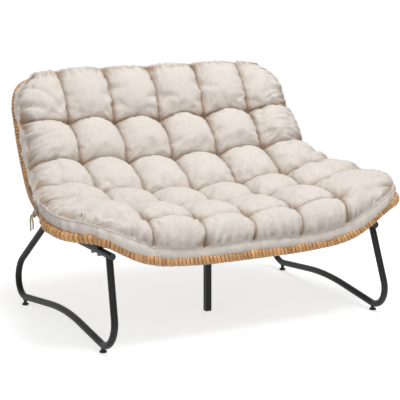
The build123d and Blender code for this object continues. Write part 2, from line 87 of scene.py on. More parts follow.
class Finish:
    """One finish of the object: its shader, the places on its surface, and the patterns drawn there."""

    def __init__(self, name, roughness, specular=0.5, metallic=0.0):
        self.material = bpy.data.materials.new(name)
        self.material.use_nodes = True
        self.tree = self.material.node_tree
        self.node = Wire(self.tree).node
        self.shader = self.tree.nodes["Principled BSDF"]
        self.place = self.node("ShaderNodeTexCoord", output="Object")
        self.set(("Roughness", roughness), ("Specular IOR Level", specular), ("Metallic", metallic))

    def set(self, *values):
        """Give sockets of the shader one even value each."""
        for socket, value in values:
            self.shader.inputs[socket].default_value = value

    def feed(self, socket, wire):
        """Let a pattern drive a socket of the shader."""
        self.tree.links.new(wire.socket, self.shader.inputs[socket])

    def noise(self, scale, detail=3.0, rough=0.5):
        """Cloudy noise, with its scale per metre along each axis."""
        spread = self.node("ShaderNodeVectorMath", {"operation": "MULTIPLY"}, {0: self.place, 1: scale})
        sockets = {"Vector": spread, "Scale": 1.0, "Detail": detail, "Roughness": rough}
        return self.node("ShaderNodeTexNoise", {}, sockets, "Fac")

    def stored(self, name):
        """A number that the mesh keeps at each of its points."""
        return self.node("ShaderNodeAttribute", {"attribute_name": name}, {}, "Fac")

    def blend(self, share, low, high):
        """The colour that runs from low to high as share goes from 0 to 1."""
        low, high = (colour if isinstance(colour, Wire) else (*colour, 1.0) for colour in (low, high))
        factor, first_colour, second_colour, mixed_colour = 0, 6, 7, 2
        sockets = {factor: share, first_colour: low, second_colour: high}
        return self.node("ShaderNodeMix", {"data_type": "RGBA"}, sockets, mixed_colour)

    def bump(self, height, depth, strength):
        """Raise the surface where a pattern is high, by a depth in metres."""
        sockets = {"Height": height, "Distance": depth, "Strength": strength}
        self.feed("Normal", self.node("ShaderNodeBump", {}, sockets))

    def dress(self, *names):
        """Give this finish to solids of the frame."""
        for name in names:
            nodes[name].data.materials.clear()
            nodes[name].data.materials.append(self.material)


powder_coat = Finish("powder_coat", roughness=0.42, specular=0.3)
coat_speckle = powder_coat.noise((900, 900, 900), detail=2.0)
coat_cloud = powder_coat.noise((9, 9, 9), detail=4.0)
coat_black = powder_coat.blend(coat_cloud.eased(0.35, 0.65), (0.010, 0.0104, 0.0111), (0.016, 0.0164, 0.0175))
powder_coat.feed("Base Color", coat_black)
powder_coat.feed("Roughness", coat_speckle.eased(0.3, 0.7, 0.36, 0.50))
powder_coat.bump(coat_speckle, 0.0002, 0.35)
powder_coat.dress(
    "seat_frame_tube", "back_frame_tube", "joint_spigots", "seat_ribs", "seat_spine",
    "back_rib_1", "back_rib_2", "back_rib_3", "back_rib_4", "back_rib_5",
    "side_rail_right", "side_rail_left", "front_brackets", "rear_brackets",
    "leg_loop_right", "leg_loop_left", "centre_leg",
)


# Screws, bolts and nuts.
# Blackened steel, rubbed a little brighter in spots. Screws cross the rim's joints, and bolts with nuts hold
# the brackets and the centre leg.
steel = Finish("blackened_steel", roughness=0.35, metallic=1.0)
steel_wear = steel.noise((500, 500, 500), detail=4.0)
steel.feed("Base Color", steel.blend(steel_wear.eased(0.4, 0.8), (0.09, 0.09, 0.095), (0.26, 0.26, 0.27)))
steel.feed("Roughness", steel_wear.eased(0.3, 0.7, 0.3, 0.5))
steel.dress("joint_screws", "bracket_bolts", "bracket_nuts", "centre_leg_bolts", "centre_leg_nuts")


# Plugs, inserts and levelling glides.
# Moulded black plastic with a fine grain. The plugs are pushed into the open tube ends, and each glide screws
# up and down in an insert in its leg.
plastic = Finish("black_plastic", roughness=0.55)
plastic_grain = plastic.noise((1400, 1400, 1400), detail=2.0)
plastic_black = plastic.blend(plastic_grain.eased(0.3, 0.7), (0.018, 0.018, 0.019), (0.032, 0.032, 0.034))
plastic.feed("Base Color", plastic_black)
plastic.bump(plastic_grain, 0.0002, 0.4)
plastic.dress(
    "rail_plugs", "glide_inserts", "centre_leg_plug",
    "glide_front_right", "glide_front_left", "glide_rear_right", "glide_rear_left",
)


# Woven back.
# Flat strands of split cane in a plain weave. Stakes stand side by side behind the cushion, and cross strands
# pass in front of them and behind them from one side of the rim to the other.
split_cane = Finish("flat_strand", roughness=0.5)
cane_streak = split_cane.noise((30, 260, 260), detail=4.0, rough=0.6)
cane_cloud = split_cane.noise((18, 18, 18))
cane_honey = split_cane.blend(cane_cloud.eased(0.3, 0.7), (0.58, 0.29, 0.11), (0.78, 0.44, 0.19))
cane_streaked = split_cane.blend(cane_streak.eased(0.5, 0.8, 0.0, 0.6), cane_honey, (0.33, 0.15, 0.055))
split_cane.feed("Base Color", cane_streaked)
split_cane.feed("Roughness", cane_streak.eased(0.3, 0.7, 0.42, 0.6))
split_cane.bump(cane_streak, 0.0005, 0.5)
split_cane.dress("back_stakes", "back_cross_strands")


# Rattan winding.
# One strand of rattan peel is wound tight round each half of the rim tube, from joint to joint. Every turn
# bulges, leans a little, and differs from the next in tone and height.
rattan = Finish("rattan", roughness=0.48)
strand_streak = rattan.noise((140, 140, 140), detail=5.0, rough=0.7)
strand_cloud = rattan.noise((26, 26, 26))
honey = rattan.blend(rattan.stored("tone"), (0.28, 0.125, 0.040), (0.84, 0.465, 0.190))
weathered = rattan.blend(strand_cloud.eased(0.35, 0.7, 0.0, 0.5), honey, (0.58, 0.295, 0.112))
streaked = rattan.blend(strand_streak.eased(0.55, 0.78, 0.0, 0.45), weathered, (0.43, 0.215, 0.094))
# Painted shade: the stored number darkens the hollows between turns nearly to black.
grooved = rattan.blend(rattan.stored("groove").eased(0.10, 0.6, 0.0, 0.95), streaked, (0.055, 0.024, 0.010))
rattan.feed("Base Color", grooved)
rattan.feed("Roughness", strand_streak.eased(0.3, 0.7, 0.38, 0.58))
rattan.bump(strand_streak, 0.0006, 0.5)

# The rim tube runs straight between its corners, given as shares of half its width, its depth and its height.
# An arc rounds each corner, and the two halves meet at a joint on either side. All is in metres.
rim_size = np.array((0.629, 0.802, 0.758))
front_corners = np.array([
    (0.309, -0.500, 0.343), (0.590, -0.500, 0.365), (0.811, -0.478, 0.471),
    (0.957, -0.395, 0.478), (1.000, -0.306, 0.500), (0.967, -0.218, 0.520),
]) * rim_size
back_corners = np.array([
    (0.857, 0.148, 0.549), (0.830, 0.304, 0.734), (0.811, 0.402, 0.906),
    (0.757, 0.448, 0.974), (0.579, 0.469, 1.000), (0.248, 0.500, 1.000),
]) * rim_size
joint_share = 0.30
joint = front_corners[-1] + (back_corners[0] - front_corners[-1]) * joint_share
mirror = np.array((-1.0, 1.0, 1.0))
bend_share = 0.47
bend_steps = 13
rim_step = 0.0014
rings_from_joint = 4

wrap_radius = 0.0127
turn_pitch = 0.0134
turn_wander = 0.0022
turn_lean = 0.12
turn_swell = 0.0022
turn_swell_spread = 0.0010
fibre_ridge = 0.0004
end_taper = 0.004
strand_sides = 22


def noises(x, y, z):
    """Smooth noise, from -1 to 1, at each place of three arrays or numbers."""
    axes = np.broadcast_arrays(x, y, z)
    values = [noise.noise(Vector(place)) for place in zip(*(axis.ravel() for axis in axes))]
    return np.reshape(values, axes[0].shape)


def lengths(vectors):
    """The lengths of the vectors in an array, kept in columns that vectors can be divided by."""
    return np.linalg.norm(vectors, axis=-1, keepdims=True)


def distance_along(line):
    """How far each point of a line lies from its start."""
    return np.concatenate([[0], np.cumsum(lengths(np.diff(line, axis=0)))])


def rounded_run(corners):
    """Evenly spaced points along straight runs whose corners are rounded by arcs."""
    line = [corners[0]]
    for before, corner, after in zip(corners, corners[1:], corners[2:]):
        back = before - corner
        ahead = after - corner
        reach = bend_share * min(np.linalg.norm(back), np.linalg.norm(ahead))
        back /= np.linalg.norm(back)
        ahead /= np.linalg.norm(ahead)
        weight = math.sqrt((1 - back @ ahead) / 2)
        for t in np.linspace(0, 1, bend_steps):
            shares = np.array(((1 - t) ** 2, 2 * weight * t * (1 - t), t ** 2))
            places = np.array((corner + back * reach, corner, corner + ahead * reach))
            line.append(shares @ places / shares.sum())
    line = np.array(line + [corners[-1]])
    run = distance_along(line)
    marks = np.linspace(0, run[-1], int(round(run[-1] / rim_step)) + 1)
    return np.stack([np.interp(marks, run, axis) for axis in line.T], 1)


def rim_half(corners):
    right = np.vstack([joint[None, :], corners])
    return rounded_run(np.vstack([right, (right * mirror)[::-1]]))


def steady_frames(line):
    """Two directions across a line at each of its points, turned as little as possible along it."""
    tangents = np.gradient(line, axis=0)
    tangents /= lengths(tangents)
    normal = np.cross(tangents[0], (0.3, 0.1, 1.0))
    normals = []
    for tangent in tangents:
        normal = normal - tangent * (normal @ tangent)
        normal = normal / np.linalg.norm(normal)
        normals.append(normal)
    normals = np.array(normals)
    return normals, np.cross(tangents, normals)


def new_piece(name, points, faces, finish, **numbers):
    """A smooth mesh of one finish, which keeps a number of each name at its points."""
    mesh = bpy.data.meshes.new(name)
    mesh.from_pydata(np.reshape(points, (-1, 3)).tolist(), [], faces)
    for key, values in numbers.items():
        layer = mesh.attributes.new(key, "FLOAT", "POINT")
        layer.data.foreach_set("value", np.ravel(values).astype(np.float32))
    mesh.polygons.foreach_set("use_smooth", [True] * len(mesh.polygons))
    mesh.materials.append(finish.material)
    mesh.update()
    piece = bpy.data.objects.new(name, mesh)
    bpy.context.scene.collection.objects.link(piece)
    return piece


def ring_faces(rings, sides, closed=False):
    """Faces between the rings of a tube, which is closed into a loop or capped at its ends."""
    here = np.arange(rings * sides).reshape(rings, sides)
    across = np.roll(here, -1, axis=1)
    bands = np.stack([here, across, np.roll(across, -1, axis=0), np.roll(here, -1, axis=0)], -1)
    if closed:
        return bands.reshape(-1, 4).tolist()
    return bands[:-1].reshape(-1, 4).tolist() + [here[0, ::-1].tolist(), here[-1].tolist()]


def wind(name, line, seed):
    """One half's winding. Phase counts its turns, and across runs from 0 on a turn to 1 in the hollow between
    two turns.
    """
    normals, binormals = steady_frames(line)
    run = distance_along(line)[:, None]
    angle = np.linspace(0, 2 * math.pi, strand_sides, endpoint=False)
    drift = noises(run * 23, seed, 0.5) * turn_wander
    tuck = np.clip(np.minimum(run, run[-1] - run) / end_taper, 0, 1)
    phase = (run + drift) / turn_pitch - angle / (2 * math.pi) + turn_lean * np.sin(angle * 2 + seed)
    turn = np.floor(phase)
    across = np.abs(2 * (phase - turn) - 1)
    lift = noises(turn * 3.7, seed * 2.3, 1.5)
    fibre = noises((phase - turn) * 5.5, turn * 2.1, angle * 0.9 + seed)
    tone = noises(turn * 5.3 + seed, 3.1, 0.2)
    depth = 0.55 + 0.9 * np.abs(noises(np.round(phase) * 4.9, seed, 6.5))
    swell = (turn_swell + turn_swell_spread * lift) * (1 - across ** 4 * depth) + fibre_ridge * fibre
    radius = wrap_radius + swell * (0.4 + 0.6 * tuck)
    spokes = np.cos(angle)[:, None] * normals[:, None] + np.sin(angle)[:, None] * binormals[:, None]
    points = line[:, None] + radius[..., None] * spokes
    tones = np.clip(0.56 + 0.6 * tone + 0.45 * fibre, 0, 1)
    # The last number paints shade into the hollows between turns, darkest where they are deepest.
    return new_piece(name, points, ring_faces(*phase.shape), rattan, groove=across ** 5 * depth, tone=tones)


seat_line = rim_half(front_corners[::-1])
back_line = rim_half(back_corners)
for name, line, seed, solid in (
    ("seat_winding", seat_line, 3.0, "seat_rim_wrap"), ("back_winding", back_line, 8.0, "back_rim_wrap"),
):
    winding = wind(name, line[rings_from_joint:-rings_from_joint], seed)
    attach(winding, "frame")
    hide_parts(solid)


# Cushion.
# One loose cushion of linen cloth, filled with fibre and boxed by a narrow border, lies in the bowl of the
# seat. Five rows of five tufts are stitched through it, and the lines between them draw it into pillows.
linen = Finish("linen", roughness=0.93, specular=0.18)
linen.set(("Sheen Weight", 0.12), ("Sheen Roughness", 0.5))
warp = linen.noise((1500, 60, 60), detail=2.0, rough=0.6)
weft = linen.noise((60, 1100, 1100), detail=2.0, rough=0.6)
slub = linen.noise((210, 210, 210), detail=4.0, rough=0.75)
fade = linen.noise((6, 6, 6))
thread = (warp + weft) * 0.5
yarn = linen.blend(thread.eased(0.36, 0.64), (0.560, 0.503, 0.447), (0.768, 0.719, 0.671))
mottled = linen.blend(slub.eased(0.35, 0.7, 0.0, 0.5), yarn, (0.788, 0.742, 0.699))
toned = linen.blend(fade.eased(0.3, 0.7, 0.0, 0.3), mottled, (0.640, 0.585, 0.530))
# Painted shade: the stored crease number darkens the linen towards warm brown in the valleys between pillows,
# along the pulls and over the border.
shaded = linen.blend(linen.stored("crease").eased(0.06, 1.0, 0.0, 0.90), toned, (0.28, 0.165, 0.085))
linen.feed("Base Color", shaded)
linen.bump(thread + slub * 0.6, 0.0012, 0.6)

# The cushion is worked out in millimetres on a grid. Rows count from 0 at the front seam to 6 at the top
# seam, and columns from -3 to 3 between the side seams. Tufts lie where rows 1 to 5 cross columns -2 to 2.
# Each row lists places in its crease, from the middle out to the side seam. The side seam is listed by row.
tuft_spacing = 175.0
outer_tuft = 2 * tuft_spacing
crease_rows = (
    ((0, -403, 304), (181, -403, 303), (352, -403, 324), (444, -399, 366), (516, -386, 402)),
    ((0, -338, 364), (181, -338, 368), (352, -337, 388), (572, -333, 410)),
    ((0, -142, 356), (181, -142, 364), (352, -142, 387), (606, -139, 444)),
    ((0, 14, 380), (181, 12, 387), (352, 6, 408), (568, -2, 462)),
    ((0, 166, 470), (181, 162, 475), (352, 149, 489), (536, 140, 505)),
    ((0, 267, 598), (181, 262, 602), (352, 248, 612), (522, 239, 632)),
    ((0, 366, 785), (181, 362, 786), (352, 346, 786), (428, 341, 778)),
)
crease_arches = (0.0, 0.02, 0.03, 0.05, 0.08, 0.09, 0.0)
crown_heights = np.array((37.0, 31.0, 37.0, 40.0, 41.0, 33.0))
side_seam = (
    (0, 516), (0.5, 546), (1, 572), (1.25, 604), (1.5, 623), (2, 607), (2.54, 583), (3, 567),
    (3.42, 548), (4, 535), (4.5, 527), (5, 520), (5.54, 517), (5.82, 490), (6, 428),
)
pillow_row_steps = (14, 36, 28, 30, 28, 30)
pillow_column_steps = 30
fit_powers = (0, 2, 4, 6)
fit_reach = 600


def share(values):
    return np.clip(values, 0, 1)


def mirrored_fit(places, axis):
    """Coefficients of even powers of x through a row's places, so that both halves are alike."""
    powers = fit_powers[:len(places) - 1]
    x = np.array([place[0] for place in places]) / fit_reach
    terms = np.stack([x ** power for power in powers], 1)
    found = np.linalg.lstsq(terms, np.array([place[axis] for place in places]), rcond=None)[0]
    return np.pad(found, (0, len(fit_powers) - len(powers)))


def through_rows(values, at):
    """Values that are given on whole rows, carried on a smooth curve to any rows."""
    low = np.clip(np.floor(at).astype(int), 0, len(values) - 2)
    t = (at - low)[..., None]
    padded = np.concatenate([2 * values[:1] - values[1:2], values, 2 * values[-1:] - values[-2:-1]])
    a, b, c, d = (padded[low + step] for step in range(4))
    square = 2 * a - 5 * b + 4 * c - d
    cube = 3 * b - a - 3 * c + d
    return 0.5 * (2 * b + (c - a) * t + square * t ** 2 + cube * t ** 3)


def pillow_marks(steps):
    """Places across a pillow, closer together near each crease."""
    even = np.linspace(0, 1, steps, endpoint=False)
    return 0.5 * even + 0.25 * (1 - np.cos(math.pi * even))


def nearest(marks, place):
    return int(np.argmin(np.abs(marks - place)))


def soften(values, passes):
    for _ in range(passes):
        edged = np.pad(values, ((1, 1), (1, 1)) + ((0, 0),) * (values.ndim - 2), mode="edge")
        values = (edged[:-2, 1:-1] + edged[2:, 1:-1] + edged[1:-1, :-2] + edged[1:-1, 2:]) / 4
    return values


def dome(place):
    """A pillow's rounded height across it, from 0 at one crease over 1 to 0 at the next."""
    return np.sqrt(share(1 - np.abs(2 * place - 1) ** 2.3))


pillow_rows = [start + pillow_marks(steps) for start, steps in enumerate(pillow_row_steps)]
pillow_columns = [start + pillow_marks(pillow_column_steps) for start in range(-3, 3)]
row_marks = np.concatenate(pillow_rows + [[6.0]])
column_marks = np.concatenate(pillow_columns + [[3.0]])
row, column = np.meshgrid(row_marks, column_marks, indexing="ij")

# Row_part and column_part are places within a pillow, from 0 to 1. Out counts columns away from the middle.
row_part = share(row - np.minimum(np.floor(row), 5))
column_part = share(column - np.minimum(np.floor(column), 2))
out = np.abs(column)
side = np.sign(column)

# Base sheet: the smooth sheet that the creases lie in. The creases arch a little between their tufts and the
# columns bow, the front corners are pulled down and back, and the sides of the back turn down to the rim.
outer_arch_share = 0.4
column_bow = 9
corner_back = 9
corner_in = 3
corner_dip = 7
corner_place = (512, -380)
corner_reach = 42
side_turn_down = 15
arch = np.interp(row, range(7), crease_arches) * np.sin(math.pi * column_part) ** 1.2
arched_row = np.clip(row + np.where(out < 2, arch, arch * outer_arch_share), 0, 6)
half_width = soften(np.interp(arched_row, *zip(*side_seam)), 12)
bow = column_bow * np.sin(math.pi * row_part) * share(1 - out / 3)
outer_x = outer_tuft + (out - 2) * (half_width - outer_tuft)
x = bow + np.where(out <= 2, column * tuft_spacing, side * outer_x)
terms = np.stack([(x / fit_reach) ** power for power in fit_powers], -1)
fits = np.array([[mirrored_fit(places, axis) for axis in (1, 2)] for places in crease_rows])
fits = through_rows(fits.reshape(7, 8), arched_row).reshape(row.shape + (2, 4))
front_corner = share((out - 2.4) / 0.6) ** 2 * share(1 - row / 1.2) ** 1.5
y = (fits[..., 0, :] * terms).sum(-1) + corner_back * front_corner
x = x - side * corner_in * front_corner
from_corner = (np.abs(x) - corner_place[0]) ** 2 + (y - corner_place[1]) ** 2
z = (fits[..., 1, :] * terms).sum(-1) - corner_dip * np.exp(-from_corner / corner_reach ** 2)
base = np.stack([x, y, z], -1)
smoothed = soften(base, 20)
normals = np.cross(np.gradient(smoothed, axis=1), np.gradient(smoothed, axis=0))
normals /= lengths(normals)
run_up = np.cumsum(np.pad(lengths(np.diff(base, axis=0))[..., 0], ((1, 0), (0, 0))), axis=0)
side_turn = share((out - 2.35) / 0.65) ** 2.2 * share((row - 1.6) / 0.9) * share((6 - row) * 2)
side_drop = side_turn_down * side_turn
base = base - normals * side_drop[..., None]

# Pillows: the fibre swells every cell between four tufts, and the creases are shallower halfway between two.
# At the front corners two cells join into one long wing.
full_cell_width = 150
steepest_crown = 0.34
crease_bridge = 0.16
cell_row = np.minimum(np.floor(row), 5).astype(int)
cell_width = np.where(out > 2, half_width - outer_tuft, tuft_spacing)
crease_places = [nearest(row_marks, crease) for crease in range(7)]
cell_length = np.diff(run_up[crease_places], axis=0)[cell_row[:, 0]]
crown = soften(crown_heights[cell_row], 6) * np.clip(cell_width / full_cell_width, 0.25, 1.15)
crown = np.minimum(crown, steepest_crown * soften(cell_length, 12))
wing = share((out - 2) / 0.3) * share((2 - row) * 4)
wing = wing * wing * (3 - 2 * wing)
row_dome = dome(row_part) * (1 - wing) + dome(share(row / 2)) * wing
column_dome = dome(column_part)
row_bridge = np.sin(math.pi * column_part) ** 2 * (1 - row_dome) * (row > 0.5) * (row < 5.99)
column_bridge = np.sin(math.pi * row_part) ** 2 * (1 - column_dome) * (out < 2.99)
swell = row_dome * column_dome + crease_bridge * (row_bridge + column_bridge)
height = crown * swell

# Folds and ripples: short folds fan out from the dimple of each tuft, and the cloth ripples between them.
fold_height = 7.5
fold_reach = 34
dimple_depth = 9.0
dimple_reach = 12
slow_ripple = 1.3
quick_ripple = 0.5
for tuft_row in range(1, 6):
    for tuft_column in range(-2, 3):
        tuft = (nearest(row_marks, tuft_row), nearest(column_marks, tuft_column))
        aside = x - x[tuft]
        above = run_up - run_up[tuft]
        reach = np.hypot(aside, above)
        count = 9.0 + 2.0 * noise.noise(Vector((tuft_row * 3.1, tuft_column * 2.7, 0.4)))
        lag = 6.0 * noise.noise(Vector((tuft_row * 1.7, tuft_column * 4.3, 2.4)))
        fan = np.abs(np.sin(np.arctan2(above, aside) * count / 2 + lag)) - 0.6
        height += fold_height * fan * np.exp(-reach / fold_reach) * share(reach / dimple_reach)
        height -= dimple_depth * np.exp(-(reach / dimple_reach) ** 2)
ripple = slow_ripple * noises(x / 70, run_up / 90, 0.3) + quick_ripple * noises(x / 22, run_up / 34, 7.3)
height += ripple * share(np.minimum(np.minimum(row, 6 - row) * 6, (3 - out) * 4))

# Seam puckers: the cloth dips where a stitched line meets the seam, gathers finely along it, and is drawn
# into longer pulls that run in from it. The seam itself stays even.
seam_dip = 10
gather_height = 7.0
pull_depth = 19.0
wing_pull = 1.35
end_pull_share = 0.8
pucker = np.exp(-((column_part - np.round(column_part)) * 9) ** 2) * (out < 2.5)
side_pucker = np.exp(-((row_part - np.round(row_part)) * 7) ** 2) * (row > 1.5) * (row < 5.5)
near_front = np.exp(-row * 5)
near_top = np.exp(-(6 - row) * 7)
near_side = np.exp(-(3 - out) * 5)
height -= seam_dip * (pucker * (near_front + near_top) + side_pucker * near_side)
end_reach = np.minimum(run_up, run_up[-1] - run_up)
side_reach = np.maximum(half_width - np.abs(x), 0)
in_back = row > 3
end_gather = noises(x / 11, 3.0 + in_back * 9, end_reach / 90) * np.exp(-end_reach / 38)
side_gather = noises(run_up / 13, 8.0 + column, side_reach / 90) * np.exp(-side_reach / 42)
gather = (end_gather + side_gather) * ((end_reach < 120) | (side_reach < 120))


def seam_pulls(along, reach, seed, sway, spacing, run, width, length):
    """Pulls that wander in from a seam and fade, at places along the seam and their reach from it."""
    way = along + 0.3 * reach * np.sin(along / sway)
    line = np.abs(noises(way / spacing, seed, reach / run))
    return (np.maximum(0, width - line) * 5) ** 0.8 * np.exp(-(reach / length) ** 1.5)


side_length = 62 + 45 * noises(run_up / 40, column * 0.2, 9.0)
side_pull = seam_pulls(
    run_up, side_reach, 2.0 + side * 5, sway=55, spacing=27, run=170, width=0.2, length=side_length,
)
side_pull *= np.where(row < 2, wing_pull, 1.0) * (side_reach < 190)
end_pull = seam_pulls(x, end_reach, 5.0 + in_back * 5, sway=70, spacing=34, run=150, width=0.16, length=42)
end_pull *= end_pull_share * (end_reach < 110)
from_seam = share(np.minimum(end_reach, side_reach) / 9)
pull = np.minimum(side_pull + end_pull, 1.0) * from_seam
height -= pull_depth * pull
height += gather_height * gather * (0.6 + pucker * 0.8 + side_pucker * 0.5) * (0.25 + 0.75 * from_seam)
top = base + normals * height[..., None]
# Crease is the painted shade on the top: the linen is darkened in the valleys between pillows and along the
# pulls.
crease = share(1 - swell) ** 1.8 * (0.3 + 0.7 * from_seam) + 0.5 * pull

# Underside: it lies on the rim, the ribs and the weave, so it keeps the thickness of the solid cushion,
# measured across the back and straight down through the seat.
end_thickness = 36
side_thickness = 32
least_thickness = 26
most_thickness = 80
probe_start = 160
probe_reach = 200
side_inset = 5
corner_depth = 14
seat_share = share((2.2 - row) / 1.2)
downward = normals * (1 - seat_share[..., None]) + np.array((0.0, 0.0, 1.0)) * seat_share[..., None]
downward /= lengths(downward)
solid_mesh = nodes["cushion"].data
solid_points = [vertex.co * 1000 for vertex in solid_mesh.vertices]
solid_tree = BVHTree.FromPolygons(solid_points, [tuple(face.vertices) for face in solid_mesh.polygons])
thickness = np.full(row.shape, np.nan)
for place in zip(*np.nonzero(out <= 2.9)):
    way = Vector(downward[place])
    hit, _, _, distance = solid_tree.ray_cast(Vector(base[place]) - way * probe_start, way, probe_reach)
    if hit is not None:
        thickness[place] = probe_start - distance
thickness = np.where(np.isnan(thickness), np.nanmedian(thickness), thickness)
thickness = np.clip(thickness, least_thickness, most_thickness)
thickness = side_thickness + (thickness - side_thickness) * share((3 - out) / 0.5)
thickness = end_thickness + (thickness - end_thickness) * share(row / 0.3)
thickness = thickness + corner_depth * share((out - 1.8) / 0.6) * seat_share
thickness = soften(thickness, 10) - side_drop
bottom = base - downward * thickness[..., None]
bottom[..., 0] -= side * side_inset * share((out - 2.8) / 0.2)


def round_edge(grid):
    """The grid's edge points, once round from the front left corner."""
    return np.concatenate([grid[0, :], grid[1:, -1], grid[-1, -2::-1], grid[-2:0:-1, 0]])


# Border: a narrow strip between the two seams. The filling presses it out, and the creases draw it in.
border_bands = 6
border_bulge = 8.5
border_bulge_spread = 7.0
border_wrinkle = 1.2
# The border is darkened by an even share of painted shade.
border_painted_shade = 0.12
edge_smoothing = 14
upper_edge = round_edge(top)
lower_edge = round_edge(bottom)
along_edge = np.roll(upper_edge, -1, axis=0) - np.roll(upper_edge, 1, axis=0)
outward = np.cross(along_edge, upper_edge - lower_edge)
outward /= lengths(outward)
for _ in range(edge_smoothing):
    outward = (np.roll(outward, 1, axis=0) + 2 * outward + np.roll(outward, -1, axis=0)) / 4
outward /= lengths(outward)
drawn_in = round_edge(np.maximum(pucker * np.maximum(near_front, near_top), side_pucker * near_side))
bulge = (border_bulge + border_bulge_spread * noises(*(upper_edge / 13).T)) * (1 - 0.8 * drawn_in)
border = []
for band in range(1, border_bands):
    down = band / border_bands
    wrinkle = border_wrinkle * noises(upper_edge[:, 0] / 7, upper_edge[:, 1] / 7, band)
    press = bulge * math.sin(math.pi * down) ** 0.8 + wrinkle
    border.append(upper_edge + (lower_edge - upper_edge) * down + outward * press[:, None])

index = np.arange(row.size).reshape(row.shape)
quads = np.stack([index[:-1, :-1], index[:-1, 1:], index[1:, 1:], index[1:, :-1]], -1).reshape(-1, 4)
edge = round_edge(index)
border_rings = 2 * row.size + np.arange((border_bands - 1) * len(edge)).reshape(-1, len(edge))
rings = np.vstack([edge, border_rings, edge + row.size])
next_rings = np.roll(rings, -1, axis=1)
walls = np.stack([rings[:-1], rings[1:], next_rings[1:], next_rings[:-1]], -1)
cushion_faces = np.vstack([quads, (quads + row.size)[:, ::-1], walls.reshape(-1, 4)]).tolist()

# Settling: the top sheet is cut a little too large and blown up against its tufts, creases and seams, which
# wrinkles it.
settling_frames = 20
pin_levels = 20
largest_move = 15
top_points = top.reshape(-1, 3)
sheet = new_piece("settling_sheet", top_points / 1000, quads.tolist(), linen)
slack = share(swell * 1.7) * (1 - 0.85 * share(pull * 1.5))
slack[0, :] = slack[-1, :] = slack[:, 0] = slack[:, -1] = 0
held = 1 - slack.ravel() ** 0.5 * 0.999
pins = sheet.vertex_groups.new(name="pins")
for level in range(1, pin_levels + 1):
    chosen = np.nonzero((held > (level - 1) / pin_levels) & (held <= level / pin_levels))[0]
    pins.add(chosen.tolist(), level / pin_levels if level > 1 else 0.0, "REPLACE")
cloth = sheet.modifiers.new("settling", "CLOTH")
cloth.collision_settings.use_collision = False
fabric = cloth.settings
fabric.vertex_group_mass = "pins"
fabric.use_pressure = True
fabric.uniform_pressure_force = 5.0
fabric.shrink_min = -0.055
fabric.quality = 5
fabric.mass = 0.25
fabric.tension_stiffness = 20
fabric.compression_stiffness = 20
fabric.shear_stiffness = 8
fabric.bending_stiffness = 0.08
fabric.pin_stiffness = 1.0
fabric.effector_weights.gravity = 0
for step in range(1, settling_frames + 1):
    bpy.context.scene.frame_set(step)
settled = sheet.evaluated_get(bpy.context.evaluated_depsgraph_get())
after = np.zeros(top_points.size)
settled.data.vertices.foreach_get("co", after)
move = after.reshape(-1, 3) * 1000 - top_points
far = lengths(move)
top_points = top_points + move * (np.minimum(far, largest_move) / np.maximum(far, 1e-6))
bpy.context.scene.frame_set(1)
bpy.data.objects.remove(sheet)

cushion_points = np.vstack([top_points, bottom.reshape(-1, 3)] + border)
# Each point keeps its share of painted shade: the top's own, and the border's even share everywhere else.
painted_shades = np.full(len(cushion_points), border_painted_shade)
painted_shades[:crease.size] = crease.ravel()
cushion = new_piece("cushion_pad", cushion_points / 1000, cushion_faces, linen, crease=painted_shades)
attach(cushion, "frame")
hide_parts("cushion")


# Cushion piping.
# A thin cord covered in the same linen is sewn into both seams of the border. It is finer round the back,
# where the seams turn in behind the pillows.
piping_sides = 8
piping_radius = 2.1
back_piping_radius = 0.9
piping_out = 0.6
piping_wobble = 0.8


def piping(name, line, radius):
    tangents = np.roll(line, -1, axis=0) - np.roll(line, 1, axis=0)
    tangents /= lengths(tangents)
    outs = np.cross(tangents, (0.0, 0.0, 1.0))
    outs /= lengths(outs)
    ups = np.cross(outs, tangents)
    angles = np.linspace(0, 2 * math.pi, piping_sides, endpoint=False)
    rounds = [line + radius[:, None] * (math.cos(a) * outs + math.sin(a) * ups) for a in angles]
    points = np.stack(rounds, 1) / 1000
    faces = ring_faces(len(line), piping_sides, closed=True)
    # The piping gets no painted shade.
    return new_piece(name, points, faces, linen, crease=np.zeros(points.shape[:2]))


wobble = piping_wobble * noises(*(upper_edge / 9).T)[:, None]
welt_radius = piping_radius - (piping_radius - back_piping_radius) * share(round_edge(row) - 1.6)
upper_welt = piping("cushion_upper_welt", upper_edge + outward * (piping_out + wobble), welt_radius)
lower_welt = piping("cushion_lower_welt", lower_edge + outward * piping_out, welt_radius)
for welt in (upper_welt, lower_welt):
    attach(welt, "frame")
    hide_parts("cushion")


# Cushion ties.
# On each side a narrow strip of the cushion's cloth goes once round the rim, in front of its joint. It is
# knotted on the outside, and its two ends hang down from the knot.
tie_cloth = Finish("tie_fabric", roughness=0.95, specular=0.15)
tie_yarn = tie_cloth.noise((700, 700, 1400), rough=0.7)
tie_beige = tie_cloth.blend(tie_yarn.eased(0.3, 0.7), (0.33, 0.27, 0.20), (0.60, 0.52, 0.42))
tie_cloth.feed("Base Color", tie_beige)
tie_cloth.bump(tie_yarn, 0.0008, 0.6)

tie_from_joint = 0.036
band_radius = 0.0148
band_width = 0.012
band_thick = 0.0018
band_slide = 0.0016
band_rings = 64
band_profile = (
    (-0.5, 0), (-0.42, 0.7), (-0.15, 1.0), (0.1, 0.8), (0.35, 1.0), (0.5, 0.3), (0.4, -0.2), (-0.4, -0.2),
)
knot_from_end = 0.008
knot_lobes = (
    ((0.000, 0.000, 0.000), (0.0072, 0.0066, 0.0078), 0.3),
    ((-0.002, -0.006, 0.005), (0.0050, 0.0085, 0.0045), 0.9),
    ((-0.002, 0.007, 0.003), (0.0050, 0.0085, 0.0042), -0.8),
    ((0.001, 0.001, -0.007), (0.0048, 0.0062, 0.0052), 0.2),
)
end_diameter = 0.005
end_routes = (
    (0.0465, ((9, -2, -2), (12, -7, -12), (10, -13, -28), (11, -11, -46))),
    (0.0549, ((9, 3, -3), (12, 8, -14), (11, 9, -34), (9, 14, -56))),
)


